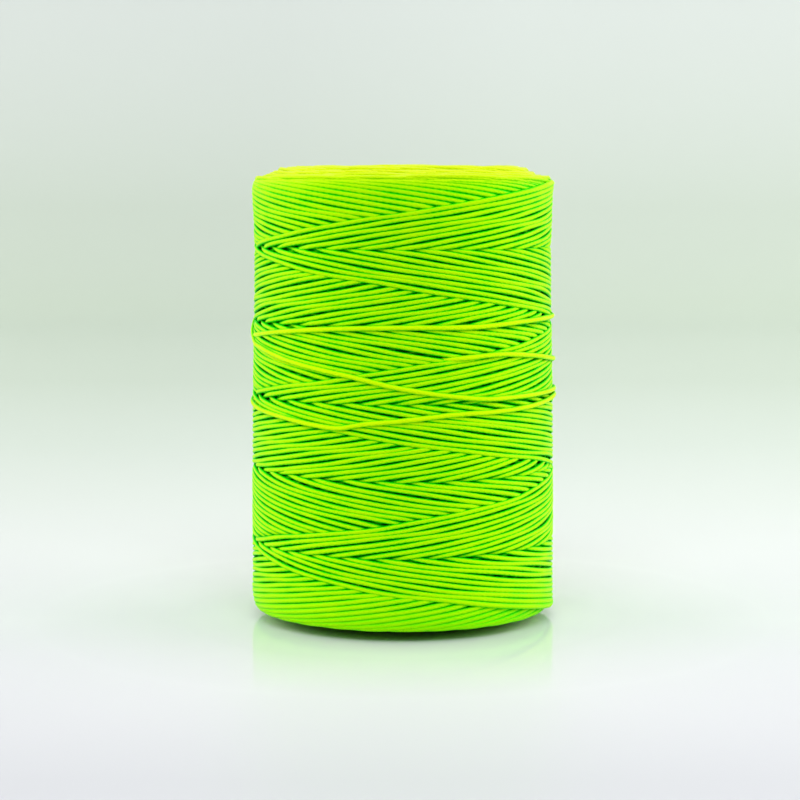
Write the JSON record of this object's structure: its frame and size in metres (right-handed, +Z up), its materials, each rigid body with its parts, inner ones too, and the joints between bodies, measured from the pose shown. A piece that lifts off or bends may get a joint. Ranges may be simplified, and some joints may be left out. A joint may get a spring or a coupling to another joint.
{
  "type": "fishing line spool",
  "caption": "Cylinder of braided line cross-wound on a recessed paperboard tube, without flanges, with its last turns lying loose on the cover.",
  "frame": {"origin": "on the tube's axis, at the level of the bottom face's crest, which the package stands on", "axes": "+Z up along the tube's axis; -Y is the front; the tube and the package are round about +Z"},
  "size_m": [0.0598, 0.0598, 0.0854],
  "materials": {
    "board": "matt grey-brown chipboard, spirally wound",
    "wrap": "smooth pale paper",
    "line": "fluorescent yellow-green braided line with a soft sheen"
  },
  "bodies": {
    "root": {"core_board": "board", "core_wrap": "wrap", "line_bulk": "line", "outer_turns": "line", "slack_turn": "line", "last_turns": "line"}
  },
  "joints": []
}
